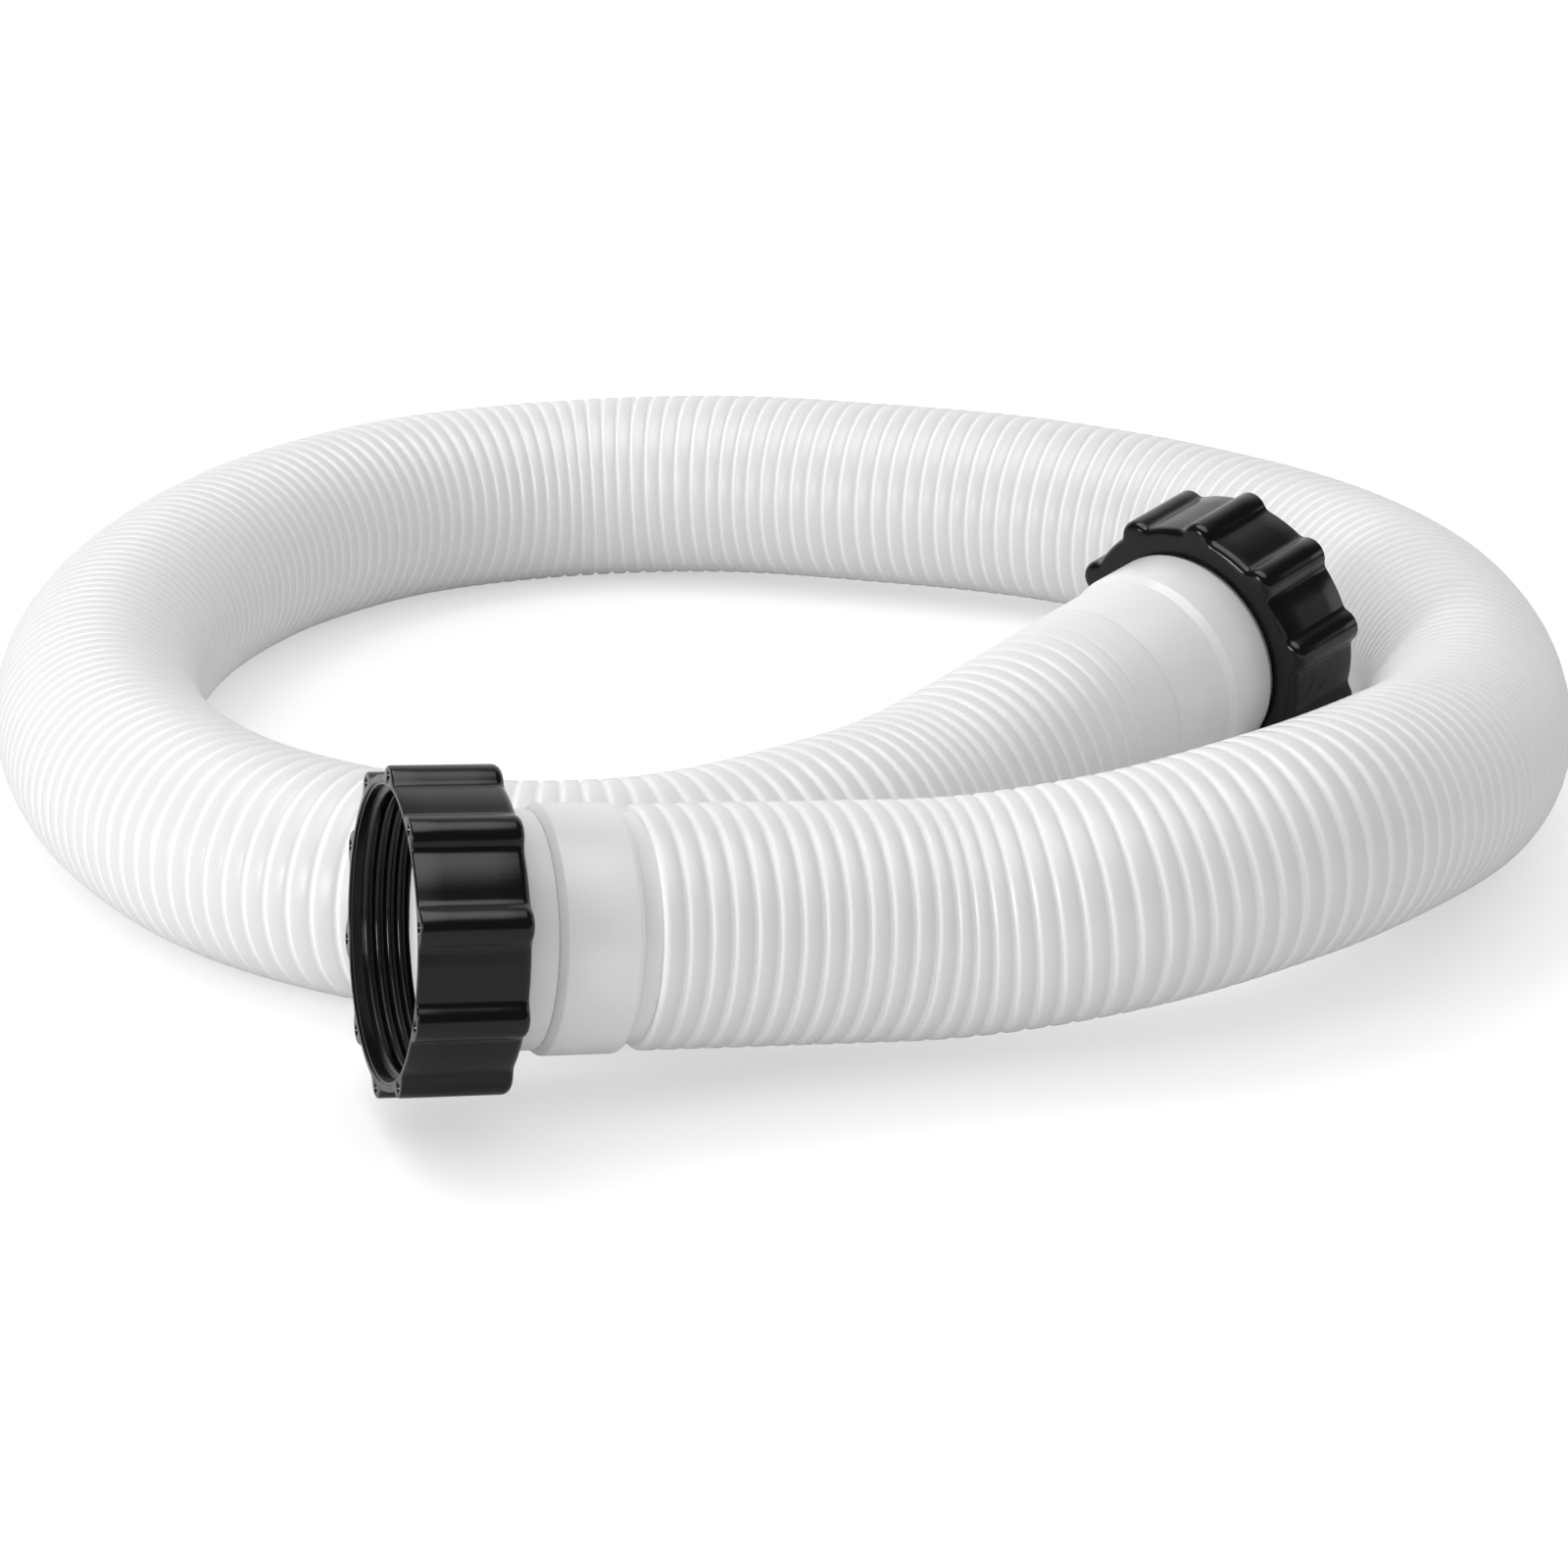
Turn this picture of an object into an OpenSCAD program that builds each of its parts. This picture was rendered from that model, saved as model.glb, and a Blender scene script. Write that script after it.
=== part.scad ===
// Ribbed pool hose with a cuff, a tailpiece, a washer and a threaded union nut
// at each end. It lies on the floor in one loop whose ends overlap.
// Millimetres, +Z up. The origin is on the floor, under the middle of the hose.

/* [Hose] */
// Outside diameter over the ribs
hose_od = 50.4; // [48:0.2:51]
// Depth of the grooves between the ribs
groove_depth = 1.2; // [0.6:0.1:1.6]
// Wall between the grooves and the bore
hose_wall = 1.5; // [1:0.1:2]
// Number of ribs along the hose
rib_count = 196; // [120:1:200]
// Depth of the flat on which the hose lies
floor_flat = 0.5; // [0.2:0.1:0.8]

/* [Cuffs] */
// How far a cuff stands out beyond the ribs
cuff_step = 0.4; // [0:0.1:0.6]
// Length of a cuff's wide part
cuff_len = 17.5; // [16:0.5:20]
// How far the neck between cuff and hose lies below the ribs
neck_step = 1.6; // [1:0.1:2]
// Length of the neck
neck_len = 4; // [3:0.5:6]
// Length of the spigot that reaches into the hose
spigot_len = 12; // [8:1:20]
// Wall of the spigot
spigot_wall = 1.8; // [1.4:0.1:2.4]
// Wall of the cuff round its socket
cuff_wall = 3.45; // [2.8:0.05:3.8]
// Rounding of the cuff's edge toward the hose
cuff_round = 1.5; // [0.5:0.1:1.8]
// Chamfer of the cuff's edge toward the nut
cuff_chamfer = 1.2; // [0.5:0.1:1.8]

/* [Tailpieces] */
// Outside diameter of a tailpiece
tail_od = 48.8; // [46.8:0.2:50]
// Length of the outer tailpiece from the cuff to the flange
outer_tail_len = 14; // [13:0.1:22]
// Length of the inner tailpiece from the cuff to the flange
inner_tail_len = 17; // [13:0.1:22]
// Length of the stem glued into the cuff
stem_len = 15; // [10:0.5:17]
// Wall of the stem
stem_wall = 2; // [1.5:0.1:3]
// Thickness of the flange that the nut pulls on
flange_len = 2.5; // [2:0.1:3.5]

/* [Washers] */
// Thickness of a sealing washer
washer_len = 1.8; // [1.5:0.1:3]
// Width of the washer between its hole and its rim
washer_width = 7; // [5:0.1:7.4]

/* [Union nuts] */
// Diameter at the thread's roots
thread_root_d = 59.7; // [58:0.1:61]
// Depth of the thread
thread_depth = 1.5; // [1.2:0.05:1.6]
// Thread pitch, 11 turns to the inch
thread_pitch = 2.309; // [2.1:0.001:2.4]
// Number of thread turns
thread_turns = 4; // [3:1:5]
// Width of a crest's flat top
crest_land = 0.5; // [0.3:0.1:0.7]
// Depth of the first crest behind the nut's front
first_crest = 4.6; // [4.2:0.1:5]
// How far the mouth is wider than the thread's roots, on each side
mouth_step = 0.5; // [0.2:0.1:0.8]
// Depth of the mouth before the first step
mouth_len = 1.8; // [1:0.1:2]
// Thinnest wall of a nut, at its mouth
nut_wall = 1.45; // [1.2:0.05:3]
// Number of grip lobes
lobe_count = 10; // [6:1:12]
// Height of the lobes above the valleys
lobe_rise = 2.7; // [2:0.1:4]
// Diameter of the round that forms a lobe
lobe_d = 8.8; // [8:0.1:10]
// Length of a nut
nut_len = 23; // [23:0.5:28]
// Thickness of the rear wall behind the flange
rear_wall = 3; // [2.5:0.1:4]
// Rounding of the lobes' rear edges
rear_round = 2; // [1:0.1:2.5]
// Chamfer of the front edge
front_chamfer = 0.4; // [0.2:0.1:0.8]
// Diameter of the blind hole in each lobe's front
lobe_hole_d = 2.4; // [1.6:0.1:3]
// Depth of that blind hole
lobe_hole_len = 8; // [4:0.5:12]
// How far the outer nut is slid back along its tailpiece
outer_nut_slide = 3.4; // [0:0.1:7]
// How far the inner nut is slid back along its tailpiece
inner_nut_slide = 0; // [0:0.1:7]
// Turn of the outer nut about its tailpiece, in degrees
outer_nut_turn = 6; // [0:1:35]
// Turn of the inner nut about its tailpiece, in degrees
inner_nut_turn = 9; // [0:1:35]

/* [Fits] */
// Radial clearance of a nut on its tailpiece
nut_play = 0.5; // [0.3:0.1:0.8]
// Radial clearance of the flange inside the thread
flange_play = 0.75; // [0.5:0.05:1.2]
// How far the washer's rim stands back from the flange's
washer_inset = 0.1; // [0:0.1:0.5]
// Gap between a nut's rear wall and the flange when it is pulled forward
stop_gap = 0.3; // [0.2:0.1:0.6]
// Radial gap of the glued stem, and of the spigot in the hose
joint_gap = 0.15; // [0.1:0.05:0.3]

/* [Hidden] */
$fn = 96;

// Centreline of the hose from the outer end to the inner end. The third
// number is the height above the height at which the hose lies on the floor.
ROUTE = [
    [-30.5, -186.5, 12.5],
    [17.5, -171.5, 8.25],
    [29.5, -167.75, 7.25],
    [71, -157, 9.5],
    [109, -136, 13],
    [136, -100.5, 10.5],
    [154.5, -57.5, 4],
    [165, -13, 0],
    [168, 33, 0],
    [162, 80, 0],
    [144, 122, 0],
    [113, 154, 1],
    [72, 176, 3],
    [28, 193, 3],
    [-17, 207, 2],
    [-63, 209, 0],
    [-105, 190, 0],
    [-136, 156, 0],
    [-156, 113, 0],
    [-166, 68, 0],
    [-168, 21, 0],
    [-161, -25, 0],
    [-144, -69, 0],
    [-116, -107, 0],
    [-77, -131, 0],
    [-32, -132, 0],
    [8, -107.5, 0.5],
    [33, -79, 0.5],
    [41, -70, 2],
    [74.5, -33.5, 10.5],
];

// Hose
crest_r = hose_od / 2;
groove_r = crest_r - groove_depth;
bore_r = groove_r - hose_wall;
lying_h = crest_r - floor_flat;
SIDES = 8;
CORNER = cos(180 / SIDES);
ring_count = 2 * rib_count;
bore_ring_count = floor(ring_count / 4);
SPAN_STEPS = 12;
spans = len(ROUTE) - 1;

// Places along an end's axis, measured outward from the end of the hose
cuff_end = neck_len + cuff_len;
function flange_rear(tail_len) = cuff_end + tail_len;
function flange_front(tail_len) = flange_rear(tail_len) + flange_len;
function nut_rear(tail_len, slide) = flange_rear(tail_len) - stop_gap - rear_wall - slide;

// Radii of an end, from the bore to the nut's lobes
cuff_r = crest_r + cuff_step;
neck_r = crest_r - neck_step;
spigot_r = bore_r - joint_gap;
spigot_bore_r = spigot_r - spigot_wall;
socket_r = cuff_r - cuff_wall;
stem_r = socket_r - joint_gap;
tail_bore_r = stem_r - stem_wall;
tail_r = tail_od / 2;
nut_hole_r = tail_r + nut_play;
root_r = thread_root_d / 2;
thread_top_r = root_r - thread_depth;
flange_r = thread_top_r - flange_play;
washer_r = flange_r - washer_inset;
washer_hole_r = washer_r - washer_width;
mouth_r = root_r + mouth_step;
valley_r = mouth_r + nut_wall;
nut_r = valley_r + lobe_rise;
lobe_centre_r = nut_r - lobe_d / 2;
lobe_hole_r = (nut_r + mouth_r) / 2;
EPS = 0.01;
ROUND_STEPS = 6;
LOBE_SIDES = 48;
LOBE_HOLE_SIDES = 24;

function unit(v) = v / norm(v);

// ---- Centreline ----

// Route points at their heights, and the curve's direction at each. The route
// goes on straight past both ends.
function stop(i) = i < 0 ? 2 * STOPS[0] - STOPS[1]
    : i > spans ? 2 * STOPS[spans] - STOPS[spans - 1]
    : STOPS[i];
function chord(i) = norm(stop(i + 1) - stop(i));
function pull(i) = let (before = chord(i - 1), after = chord(i))
    ((stop(i) - stop(i - 1)) * after / before + (stop(i + 1) - stop(i)) * before / after)
    / (before + after);
STOPS = [for (p = ROUTE) p + [0, 0, lying_h]];
PULLS = [for (i = [0:spans]) pull(i)];

// Smooth curve through the route, and its direction, at u, which counts route points
function span_of(u) = min(floor(u), spans - 1);
function curve(u) = let (i = span_of(u), t = u - i, c = chord(i))
    STOPS[i] * (1 + 2 * t) * (1 - t) * (1 - t)
    + PULLS[i] * c * t * (1 - t) * (1 - t)
    + STOPS[i + 1] * t * t * (3 - 2 * t)
    + PULLS[i + 1] * c * t * t * (t - 1);
function heading(u) = let (i = span_of(u), t = u - i, c = chord(i))
    unit(
        (STOPS[i + 1] - STOPS[i]) * 6 * t * (1 - t)
        + PULLS[i] * c * (3 * t * t - 4 * t + 1)
        + PULLS[i + 1] * c * (3 * t * t - 2 * t)
    );

// Length of the curve up to each of its small steps, and the way back from a length to u
STEPS = [for (k = [0:spans * SPAN_STEPS]) curve(k / SPAN_STEPS)];
REACH = [for (k = 0, s = 0; k < len(STEPS); k = k + 1, s = s + reach_step(k)) s];
function reach_step(k) = k < len(STEPS) ? norm(STEPS[k] - STEPS[k - 1]) : 0;
hose_len = REACH[len(REACH) - 1];
U_AT = [for (k = [0:len(REACH) - 1]) [REACH[k], k / SPAN_STEPS]];
function u_at(s) = lookup(s, U_AT);

// ---- Hose ----

// One ring of points round the centreline, one flat side down. No point is below the floor.
function ring(u, r) = let (
    centre = curve(u),
    ahead = heading(u),
    side = unit(cross(ahead, [0, 0, 1])),
    up = cross(side, ahead)
) [for (k = [0:SIDES - 1]) let (
    a = (k + 0.5) * 360 / SIDES,
    p = centre + r / CORNER * (cos(a) * side + sin(a) * up)
) [p.x, p.y, max(p.z, 0)]];

function rib_r(i) = i % 2 == 0 ? groove_r : crest_r;
function skin_rings() = [
    for (i = [0:ring_count]) ring(u_at(hose_len * i / ring_count), rib_r(i))
];
function bore_rings() = [
    for (i = [0:bore_ring_count]) ring(u_at(hose_len * i / bore_ring_count), bore_r)
];
function flatten(rows) = [for (row = rows) for (item = row) item];

// Two triangles between the points a, b of one ring and d, c of the next
function patch(a, b, c, d) = [[a, b, c], [a, c, d]];
function next(k) = (k + 1) % SIDES;
function tube_faces(first, last, outward) = [
    for (i = [0:last - 1]) for (k = [0:SIDES - 1]) let (
        here = first + i * SIDES,
        there = here + SIDES
    ) for (f = outward
        ? patch(here + k, here + next(k), there + next(k), there + k)
        : patch(here + next(k), here + k, there + k, there + next(k))) f
];
function rim_faces(skin, bore, outward) = [
    for (k = [0:SIDES - 1]) for (f = outward
        ? patch(skin + k, skin + next(k), bore + next(k), bore + k)
        : patch(skin + next(k), skin + k, bore + k, bore + next(k))) f
];

// Gap from a point to the straight piece of hose at place q, if it is beside it
NOT_NEAR = 2 * hose_od;
NEXT_TURN = 3 * hose_od;
function flat_distance(w, side, up) = let (a = abs(w * side), b = abs(w * up)) max(a, b, (a + b) / sqrt(2));
function gap_at(p, q) = let (
    ahead = HEADINGS[q],
    side = unit(cross(ahead, [0, 0, 1])),
    w = p - CENTRES[q]
) abs(w * ahead) > PLACE_STEP ? NOT_NEAR : flat_distance(w, side, cross(side, ahead)) - crest_r;

// Least gap between two stretches of the hose, taken from the corners of its ribs
PLACES = [for (i = [1:2:ring_count]) hose_len * i / ring_count];
PLACE_STEP = hose_len / rib_count;
CENTRES = [for (s = PLACES) curve(u_at(s))];
HEADINGS = [for (s = PLACES) heading(u_at(s))];
function least_gap() = min([
    for (i = [0:rib_count - 1]) for (q = [0:rib_count - 1])
        if (abs(i - q) * PLACE_STEP > NEXT_TURN && norm(CENTRES[i] - CENTRES[q]) < NOT_NEAR)
            for (p = ring(u_at(PLACES[i]), crest_r)) gap_at(p, q)
]);

module ribbed_hose() {
    skin = flatten(skin_rings());
    bore = flatten(bore_rings());
    end_skin = ring_count * SIDES;
    first_bore = len(skin);
    end_bore = first_bore + bore_ring_count * SIDES;
    echo("hose length", hose_len, "rib pitch", PLACE_STEP, "least gap to itself", least_gap());
    color("whitesmoke") polyhedron(
        points = concat(skin, bore),
        faces = concat(
            tube_faces(0, ring_count, true),
            tube_faces(first_bore, bore_ring_count, false),
            rim_faces(0, first_bore, false),
            rim_faces(end_skin, end_bore, true)
        )
    );
}

// ---- End fittings, drawn along +Z from the end of the hose at z = 0 ----

// Puts a fitting on an end of the hose
module at_end(tip, inward) {
    d = unit(tip - inward);
    translate(tip) rotate([0, acos(d.z), atan2(d.y, d.x)]) children();
}
module at_outer_end() at_end(stop(0), stop(1)) children();
module at_inner_end() at_end(stop(spans), stop(spans - 1)) children();

// Points on an arc about c from angle a to angle b
function arc(c, r, a, b) = [
    for (k = [0:ROUND_STEPS]) let (t = a + (b - a) * k / ROUND_STEPS) c + r * [cos(t), sin(t)]
];

module cuff() {
    socket_z = cuff_end - stem_len;
    color("white") rotate_extrude() polygon(concat(
        [
            [spigot_bore_r, -spigot_len],
            [spigot_r, -spigot_len],
            [spigot_r, 0],
            [neck_r, 0],
            [neck_r, neck_len],
        ],
        arc([cuff_r - cuff_round, neck_len + cuff_round], cuff_round, -90, 0),
        [
            [cuff_r, cuff_end - cuff_chamfer],
            [cuff_r - cuff_chamfer, cuff_end],
            [socket_r, cuff_end],
            [socket_r, socket_z],
            [spigot_bore_r, socket_z],
        ]
    ));
}

module tailpiece(tail_len) {
    color("white") rotate_extrude() polygon([
        [tail_bore_r, cuff_end - stem_len],
        [stem_r, cuff_end - stem_len],
        [stem_r, cuff_end],
        [tail_r, cuff_end],
        [tail_r, flange_rear(tail_len)],
        [flange_r, flange_rear(tail_len)],
        [flange_r, flange_front(tail_len)],
        [tail_bore_r, flange_front(tail_len)],
    ]);
}

module sealing_washer(tail_len) {
    washer_rear = flange_front(tail_len);
    washer_front = washer_rear + washer_len;
    color("ghostwhite") rotate_extrude() polygon([
        [washer_hole_r, washer_rear],
        [washer_r, washer_rear],
        [washer_r, washer_front],
        [washer_hole_r, washer_front],
    ]);
}

// Puts a copy at each of a nut's lobes
module at_lobes(r) {
    for (k = [0:lobe_count - 1]) rotate(k * 360 / lobe_count) translate([r, 0]) children();
}

// Outline of a nut seen from the front
module lobed_outline() {
    circle(r = valley_r);
    at_lobes(lobe_centre_r) circle(d = lobe_d, $fn = LOBE_SIDES);
}

// Solid of revolution that rounds a nut's rear edge and chamfers its front edge
module nut_envelope() {
    rotate_extrude() polygon(concat(
        [[0, 0]],
        arc([nut_r - rear_round, rear_round], rear_round, -90, 0),
        [
            [nut_r, nut_len - front_chamfer],
            [nut_r - front_chamfer, nut_len],
            [0, nut_len],
        ]
    ));
}

// Hollow of a nut: rear hole, relief, thread ridges, step and mouth
function crest_z(k) = nut_len - first_crest - k * thread_pitch;
module nut_hollow() {
    land = crest_land / 2;
    flank = (thread_pitch - crest_land) / 2;
    rotate_extrude() polygon(concat(
        [
            [0, -EPS],
            [nut_hole_r, -EPS],
            [nut_hole_r, rear_wall],
            [root_r, rear_wall],
        ],
        [for (k = [thread_turns - 1:-1:0]) for (p = [
            [root_r, crest_z(k) - land - flank],
            [thread_top_r, crest_z(k) - land],
            [thread_top_r, crest_z(k) + land],
        ]) p],
        [
            [root_r, crest_z(0) + land + flank],
            [root_r, nut_len - mouth_len - 2 * mouth_step],
            [mouth_r, nut_len - mouth_len],
            [mouth_r, nut_len + EPS],
            [0, nut_len + EPS],
        ]
    ));
}

module union_nut(tail_len, slide, turn) {
    color("#1c1c1e") translate([0, 0, nut_rear(tail_len, slide)]) rotate(turn) difference() {
        intersection() {
            linear_extrude(nut_len) lobed_outline();
            nut_envelope();
        }
        nut_hollow();
        at_lobes(lobe_hole_r) translate([0, 0, nut_len - lobe_hole_len])
            cylinder(d = lobe_hole_d, h = lobe_hole_len + EPS, $fn = LOBE_HOLE_SIDES);
    }
}

module outer_cuff() at_outer_end() cuff();
module inner_cuff() at_inner_end() cuff();
module outer_tailpiece() at_outer_end() tailpiece(outer_tail_len);
module inner_tailpiece() at_inner_end() tailpiece(inner_tail_len);
module outer_union_nut() at_outer_end() union_nut(outer_tail_len, outer_nut_slide, outer_nut_turn);
module inner_union_nut() at_inner_end() union_nut(inner_tail_len, inner_nut_slide, inner_nut_turn);
module outer_sealing_washer() at_outer_end() sealing_washer(outer_tail_len);
module inner_sealing_washer() at_inner_end() sealing_washer(inner_tail_len);

ribbed_hose();
outer_cuff();
inner_cuff();
outer_tailpiece();
inner_tailpiece();
outer_union_nut();
inner_union_nut();
outer_sealing_washer();
inner_sealing_washer();
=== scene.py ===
"""Looks of a ribbed pool hose with a union nut at each end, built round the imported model.

The hose, the cuffs, the tailpieces, the washers and the nuts each stand for the CAD node of the same
name. Sizes are in millimetres until a mesh is finished, and the finished meshes are in metres.
"""

from __future__ import annotations

import bisect
import logging
import math
from collections.abc import Iterable, Sequence
from dataclasses import dataclass, field
from enum import Enum
from typing import NamedTuple

import bmesh
import bpy
from mathutils import Matrix, Vector

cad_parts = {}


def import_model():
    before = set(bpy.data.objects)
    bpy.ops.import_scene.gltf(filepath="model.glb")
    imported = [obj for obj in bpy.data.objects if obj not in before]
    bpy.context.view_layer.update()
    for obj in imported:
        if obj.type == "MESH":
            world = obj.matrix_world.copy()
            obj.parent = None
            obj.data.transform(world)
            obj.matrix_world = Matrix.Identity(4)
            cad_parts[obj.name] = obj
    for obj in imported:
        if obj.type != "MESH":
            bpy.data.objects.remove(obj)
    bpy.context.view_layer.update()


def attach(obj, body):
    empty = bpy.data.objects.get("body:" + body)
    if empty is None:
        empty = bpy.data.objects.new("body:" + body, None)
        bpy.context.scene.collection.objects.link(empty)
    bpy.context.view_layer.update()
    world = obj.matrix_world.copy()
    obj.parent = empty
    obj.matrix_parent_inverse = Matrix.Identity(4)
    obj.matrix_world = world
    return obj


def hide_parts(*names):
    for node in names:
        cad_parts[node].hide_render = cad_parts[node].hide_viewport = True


LOG = logging.getLogger("hose")
MM = 0.001
FULL_TURN = 2 * math.pi
WELD_MM = 0.0005
ARC_STEPS = 4
# Name of the hose's point attribute that holds its share of painted light
PAINTED_LIGHT_ATTR = "painted_groove_light"
WHITE = (1.0, 1.0, 1.0, 1.0)

# Centreline of the hose in millimetres, from the outer end to the inner end. The third number is the
# height above the height at which the hose lies on the floor.
ROUTE = (
    (-30.5, -186.5, 12.5),
    (17.5, -171.5, 8.25),
    (29.5, -167.75, 7.25),
    (71, -157, 9.5),
    (109, -136, 13),
    (136, -100.5, 10.5),
    (154.5, -57.5, 4),
    (165, -13, 0),
    (168, 33, 0),
    (162, 80, 0),
    (144, 122, 0),
    (113, 154, 1),
    (72, 176, 3),
    (28, 193, 3),
    (-17, 207, 2),
    (-63, 209, 0),
    (-105, 190, 0),
    (-136, 156, 0),
    (-156, 113, 0),
    (-166, 68, 0),
    (-168, 21, 0),
    (-161, -25, 0),
    (-144, -69, 0),
    (-116, -107, 0),
    (-77, -131, 0),
    (-32, -132, 0),
    (8, -107.5, 0.5),
    (33, -79, 0.5),
    (41, -70, 2),
    (74.5, -33.5, 10.5),
)


class End(Enum):
    """The two ends of the hose."""

    OUTER = "outer"
    INNER = "inner"


class Body(Enum):
    """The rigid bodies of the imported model."""

    HOSE = "hose_assembly"
    OUTER_NUT = "outer_nut"
    INNER_NUT = "inner_nut"


class Slot(Enum):
    """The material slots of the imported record."""

    HOSE = "hose_plastic"
    FITTING = "fitting_plastic"
    NUT = "nut_plastic"
    WASHER = "washer_rubber"


class Join(Enum):
    """The ways in which a Math node joins two numbers."""

    LARGER = "MAXIMUM"
    PRODUCT = "MULTIPLY"


# ---- Centreline ----


@dataclass
class Centreline:
    """Smooth curve through the route's points, measured by its length in millimetres."""

    route: Sequence[tuple[float, float, float]] = ROUTE
    lying_height: float = 24.7
    steps: int = 24
    stops: list[Vector] = field(init=False)
    pulls: list[Vector] = field(init=False)
    reach: list[float] = field(init=False)

    def __post_init__(self) -> None:
        """Works out the direction at each point and the length up to each small step."""
        self.stops = [Vector(p) + Vector((0, 0, self.lying_height)) for p in self.route]
        self.pulls = [self._pull(i) for i in range(len(self.stops))]
        points = [self.at(k / self.steps) for k in range(self.spans * self.steps + 1)]
        self.reach = [0.0]
        for a, b in zip(points, points[1:]):
            self.reach.append(self.reach[-1] + (b - a).length)

    @property
    def spans(self) -> int:
        """Number of stretches between the route's points."""
        return len(self.stops) - 1

    @property
    def length(self) -> float:
        """Length of the whole curve in millimetres."""
        return self.reach[-1]

    def _stop(self, i: int) -> Vector:
        """Finds a point of the route, or one straight beyond each end.

        Args:
            i: the point's number, which may be one outside the route.

        Returns:
            The point in millimetres.
        """
        if i < 0:
            return 2 * self.stops[0] - self.stops[1]
        if i > self.spans:
            return 2 * self.stops[-1] - self.stops[-2]
        return self.stops[i]

    def _pull(self, i: int) -> Vector:
        """Works out the curve's direction at a point of the route.

        Args:
            i: the point's number.

        Returns:
            The direction, about one long.
        """
        before = (self._stop(i) - self._stop(i - 1)).length
        after = (self._stop(i + 1) - self._stop(i)).length
        back = (self._stop(i) - self._stop(i - 1)) * (after / before)
        ahead = (self._stop(i + 1) - self._stop(i)) * (before / after)
        return (back + ahead) / (before + after)

    def _span(self, u: float) -> tuple[int, float, float]:
        """Finds the stretch of the curve that holds u.

        Args:
            u: a place on the curve, which counts route points.

        Returns:
            The stretch's number, the share of it that lies before u, and its straight length.
        """
        i = min(int(u), self.spans - 1)
        return i, u - i, (self.stops[i + 1] - self.stops[i]).length

    def at(self, u: float) -> Vector:
        """Finds a point of the curve.

        Args:
            u: a place on the curve, which counts route points.

        Returns:
            The point in millimetres.
        """
        i, t, chord = self._span(u)
        return (
            self.stops[i] * ((1 + 2 * t) * (1 - t) ** 2)
            + self.pulls[i] * (chord * t * (1 - t) ** 2)
            + self.stops[i + 1] * (t * t * (3 - 2 * t))
            + self.pulls[i + 1] * (chord * t * t * (t - 1))
        )

    def heading(self, u: float) -> Vector:
        """Finds the curve's direction.

        Args:
            u: a place on the curve, which counts route points.

        Returns:
            The unit direction towards the inner end.
        """
        i, t, chord = self._span(u)
        slope = (
            (self.stops[i + 1] - self.stops[i]) * (6 * t * (1 - t))
            + self.pulls[i] * (chord * (3 * t * t - 4 * t + 1))
            + self.pulls[i + 1] * (chord * (3 * t * t - 2 * t))
        )
        return slope.normalized()

    def u_at(self, s: float) -> float:
        """Turns a length along the curve into a place on it.

        Args:
            s: the length from the outer end, in millimetres.

        Returns:
            The place, which counts route points.
        """
        k = min(max(bisect.bisect_right(self.reach, s) - 1, 0), len(self.reach) - 2)
        part = (s - self.reach[k]) / (self.reach[k + 1] - self.reach[k])
        return (k + part) / self.steps

    def frame(self, s: float) -> tuple[Vector, Vector, Vector]:
        """Finds the frame in which a ring of the hose is drawn.

        Args:
            s: the length from the outer end, in millimetres.

        Returns:
            The centre, the level direction to the side, and the direction up.
        """
        u = self.u_at(s)
        ahead = self.heading(u)
        side = ahead.cross(Vector((0, 0, 1))).normalized()
        return self.at(u), side, side.cross(ahead)

    def fitting_frame(self, end: End) -> Matrix:
        """Finds the frame of an end's fittings.

        Args:
            end: the end of the hose.

        Returns:
            The frame, whose +Z leads out of the end of the hose.
        """
        outer = end is End.OUTER
        tip, inward = self.stops[:2] if outer else self.stops[:-3:-1]
        out = (tip - inward).normalized()
        turn = Matrix.Rotation(math.atan2(out.y, out.x), 4, "Z")
        tilt = Matrix.Rotation(math.acos(out.z), 4, "Y")
        return Matrix.Translation(tip) @ turn @ tilt


# ---- Mesh helpers ----


class Corner(NamedTuple):
    """A corner of an outline in the (radius, height) plane, and the radius that rounds it."""

    r: float
    z: float
    round: float = 0.0


def rounded(corners: Sequence[Corner]) -> list[tuple[float, float]]:
    """Rounds the corners of a closed outline.

    Args:
        corners: the outline's corners in order.

    Returns:
        The outline's points.
    """
    points: list[tuple[float, float]] = []
    for i, corner in enumerate(corners):
        here = Vector((corner.r, corner.z))
        if corner.round <= 0:
            points.append((here.x, here.y))
            continue
        to_last = (Vector(corners[i - 1][:2]) - here).normalized()
        to_next = (Vector(corners[(i + 1) % len(corners)][:2]) - here).normalized()
        half = to_last.angle(to_next) / 2
        reach = corner.round / math.tan(half)
        centre = here + (to_last + to_next).normalized() * (corner.round / math.sin(half))
        first = here + to_last * reach - centre
        last = here + to_next * reach - centre
        for k in range(ARC_STEPS + 1):
            spoke = first.slerp(last, k / ARC_STEPS).normalized() * corner.round
            points.append((centre.x + spoke.x, centre.y + spoke.y))
    return points


def lathe(bm: bmesh.types.BMesh, outline: Sequence[tuple[float, float]], sides: int) -> None:
    """Spins a closed outline round the Z axis into a closed ring.

    Args:
        bm: the mesh that takes the ring.
        outline: the outline's points as (radius, height).
        sides: number of sides of the ring.
    """
    verts = [bm.verts.new((r, 0, z)) for r, z in outline]
    edges = [bm.edges.new((a, b)) for a, b in zip(verts, verts[1:] + verts[:1])]
    bmesh.ops.spin(
        bm,
        geom=verts + edges,
        axis=(0, 0, 1),
        cent=(0, 0, 0),
        angle=FULL_TURN,
        steps=sides,
        use_merge=True,
    )


def polar(r: float, angle: float) -> Vector:
    """Returns the flat point at a radius and an angle in radians."""
    return r * Vector((math.cos(angle), math.sin(angle)))


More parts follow.
